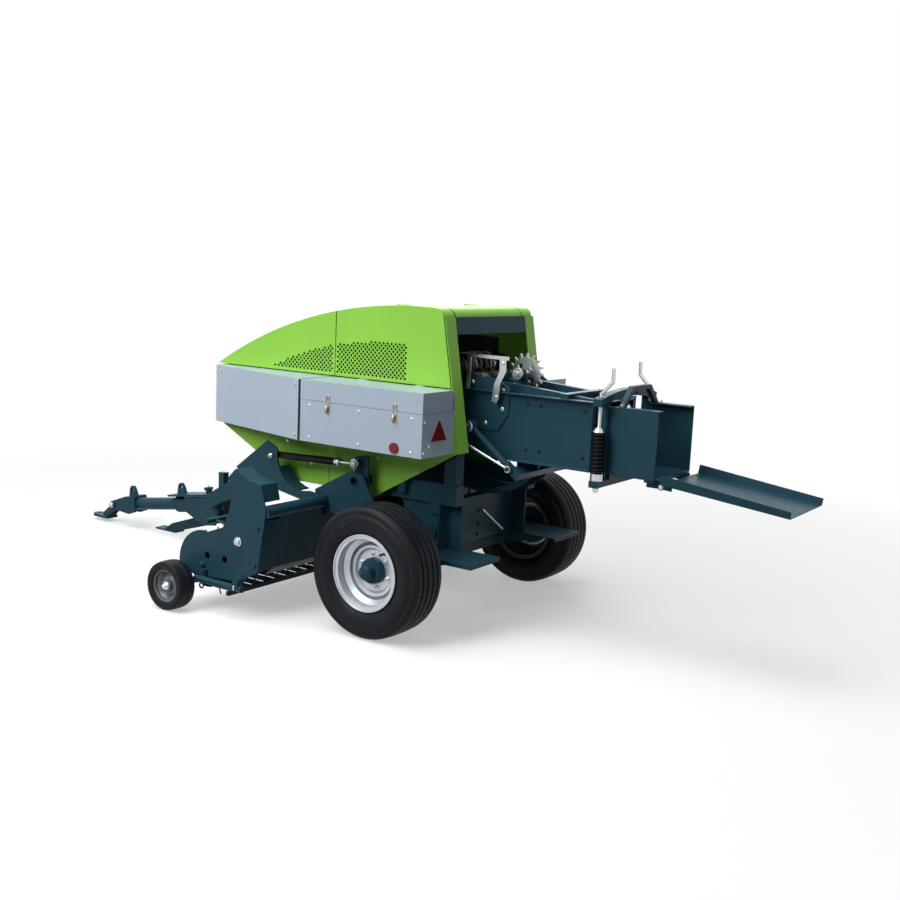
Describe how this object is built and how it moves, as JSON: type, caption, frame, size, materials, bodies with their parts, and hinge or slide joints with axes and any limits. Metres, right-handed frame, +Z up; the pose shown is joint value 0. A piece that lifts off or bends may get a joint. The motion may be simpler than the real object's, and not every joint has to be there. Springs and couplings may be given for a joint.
{
  "type": "square baler",
  "caption": "In-line small square baler on implement tyres, with perforated hood, side twine boxes, wide tined pickup, bale chamber, star metering wheel and fold-up discharge chute, parked.",
  "frame": {"origin": "centre of the footprint, on the ground", "axes": "+X forward to the hitch, +Y to the machine's left, +Z up"},
  "size_m": [5.6186, 2.66, 1.853],
  "materials": {
    "green_paint": "gloss",
    "teal_paint": "semi-gloss",
    "grey_paint": "satin",
    "bright_steel": "worn",
    "rim_silver": "satin",
    "tyre": "matt",
    "black_paint": "semi-gloss",
    "black_plastic": "matt",
    "red_reflector": "gloss"
  },
  "bodies": {
    "chassis": {"axle_beam": "teal_paint", "frame_rails": "teal_paint", "cross_members": "teal_paint", "gooseneck": "teal_paint", "pickup_hangers": "teal_paint", "steps": "teal_paint", "drawbar": "teal_paint", "lower_hull": "green_paint", "hood_front": "green_paint", "roof_spine": "green_paint", "rear_surround": "green_paint", "rear_visor": "teal_paint", "front_shield": "grey_paint", "twine_box_left": "grey_paint", "twine_box_right": "grey_paint", "reflectors": "red_reflector", "gearbox": "teal_paint", "shaft_guard": "black_plastic", "chamber_walls": "teal_paint", "chamber_floor": "teal_paint", "chamber_roof": "teal_paint", "tension_frame": "teal_paint", "tension_springs": "black_paint", "tension_screws": "bright_steel", "knotters": "bright_steel", "trip_arm": "bright_steel"},
    "wheel_left": {"tyre_left": "tyre", "rim_left": "rim_silver", "hub_left": "teal_paint"},
    "wheel_right": {"tyre_right": "tyre", "rim_right": "rim_silver", "hub_right": "teal_paint"},
    "pickup": {"pickup_ends": "teal_paint", "pickup_trough": "teal_paint", "stripper_bank": "teal_paint", "gauge_arms": "teal_paint"},
    "reel": {"tine_reel": "bright_steel"},
    "auger": {"feed_auger": "teal_paint"},
    "gauge_left": {"gauge_wheel_left": "tyre"},
    "gauge_right": {"gauge_wheel_right": "tyre"},
    "barrel_left": {"lift_barrel_left": "black_paint"},
    "barrel_right": {"lift_barrel_right": "black_paint"},
    "rod_left": {"lift_rod_left": "bright_steel"},
    "rod_right": {"lift_rod_right": "bright_steel"},
    "door_left": {"hood_door_left": "green_paint"},
    "door_right": {"hood_door_right": "green_paint"},
    "lid_left": {"twine_lid_left": "grey_paint"},
    "lid_right": {"twine_lid_right": "grey_paint"},
    "chute": {"chute": "teal_paint"},
    "stand": {"parking_stand": "teal_paint"},
    "link": {"hitch_link": "teal_paint"},
    "star": {"metering_wheel": "bright_steel"},
    "yoke": {"needle_yoke": "teal_paint"},
    "drive_link": {"yoke_link": "bright_steel"}
  },
  "joints": [
    {"name": "wheel_left_spin", "type": "hinge", "parent": "chassis", "child": "wheel_left", "pos_m": [-0.68114, 0.84, 0.38], "axis": [0, 1, 0], "continuous": true},
    {"name": "wheel_right_spin", "type": "hinge", "parent": "chassis", "child": "wheel_right", "pos_m": [-0.68114, -0.84, 0.38], "axis": [0, 1, 0], "continuous": true},
    {"name": "pickup_lift", "type": "hinge", "parent": "chassis", "child": "pickup", "pos_m": [-0.08114, 0, 0.655], "axis": [0, -1, 0], "range_deg": [0, 18]},
    {"name": "reel_spin", "type": "hinge", "parent": "pickup", "child": "reel", "pos_m": [0.39886, 0, 0.27], "axis": [0, 1, 0], "continuous": true},
    {"name": "auger_spin", "type": "hinge", "parent": "pickup", "child": "auger", "pos_m": [0.11486, 0, 0.455], "axis": [0, 1, 0], "continuous": true},
    {"name": "gauge_left_spin", "type": "hinge", "parent": "pickup", "child": "gauge_left", "pos_m": [0.52686, 1.267, 0.148], "axis": [0, 1, 0], "continuous": true},
    {"name": "gauge_right_spin", "type": "hinge", "parent": "pickup", "child": "gauge_right", "pos_m": [0.52686, -1.267, 0.148], "axis": [0, 1, 0], "continuous": true},
    {"name": "barrel_left_pivot", "type": "hinge", "parent": "pickup", "child": "barrel_left", "pos_m": [0.32786, 0.6, 0.884], "axis": [0, -1, 0], "range_deg": [-6.42, 0]},
    {"name": "rod_left_slide", "type": "slide", "parent": "barrel_left", "child": "rod_left", "axis": [0.9991, 0, -0.0423], "range_m": [0, 0.0844]},
    {"name": "barrel_right_pivot", "type": "hinge", "parent": "pickup", "child": "barrel_right", "pos_m": [0.32786, -0.6, 0.884], "axis": [0, -1, 0], "range_deg": [-6.42, 0]},
    {"name": "rod_right_slide", "type": "slide", "parent": "barrel_right", "child": "rod_right", "axis": [0.9991, 0, -0.0423], "range_m": [0, 0.0844]},
    {"name": "door_left_lift", "type": "hinge", "parent": "chassis", "child": "door_left", "pos_m": [-0.68114, 0.36, 1.846], "axis": [1, 0, 0], "range_deg": [0, 75]},
    {"name": "lid_left_lift", "type": "hinge", "parent": "chassis", "child": "lid_left", "pos_m": [-0.68114, 0.492, 1.397], "axis": [1, 0, 0], "range_deg": [0, 85]},
    {"name": "door_right_lift", "type": "hinge", "parent": "chassis", "child": "door_right", "pos_m": [-0.68114, -0.36, 1.846], "axis": [-1, 0, 0], "range_deg": [0, 75]},
    {"name": "lid_right_lift", "type": "hinge", "parent": "chassis", "child": "lid_right", "pos_m": [-0.68114, -0.492, 1.397], "axis": [-1, 0, 0], "range_deg": [0, 85]},
    {"name": "chute_fold", "type": "hinge", "parent": "chassis", "child": "chute", "pos_m": [-2.08714, 0, 0.972], "axis": [0, 1, 0], "range_deg": [0, 88]},
    {"name": "stand_swing", "type": "hinge", "parent": "chassis", "child": "stand", "pos_m": [1.47886, -0.096, 0.204], "axis": [0, -1, 0], "range_deg": [0, 35]},
    {"name": "hitch_swing", "type": "hinge", "parent": "chassis", "child": "link", "pos_m": [2.52626, 0, 0.15652], "axis": [0, -1, 0], "range_deg": [0, 45]},
    {"name": "star_spin", "type": "hinge", "parent": "chassis", "child": "star", "pos_m": [-1.09114, 0, 1.485], "axis": [0, 1, 0], "continuous": true},
    {"name": "yoke_swing", "type": "hinge", "parent": "chassis", "child": "yoke", "pos_m": [-0.90914, 0, 1.177], "axis": [0, -1, 0], "range_deg": [0, 78]},
    {"name": "drive_link_pivot", "type": "hinge", "parent": "yoke", "child": "drive_link", "pos_m": [-1.19346, 0, 0.96275], "axis": [0, -1, 0], "range_deg": [-78, 0]}
  ],
  "couplings": [
    {"joint": "barrel_left_pivot", "follows": "pickup_lift", "ratio": -0.35569},
    {"joint": "barrel_right_pivot", "follows": "pickup_lift", "ratio": -0.35569},
    {"joint": "rod_left_slide", "follows": "pickup_lift", "m_per_rad": 0.26828},
    {"joint": "rod_right_slide", "follows": "pickup_lift", "m_per_rad": 0.26828},
    {"joint": "drive_link_pivot", "follows": "yoke_swing", "ratio": -1}
  ]
}
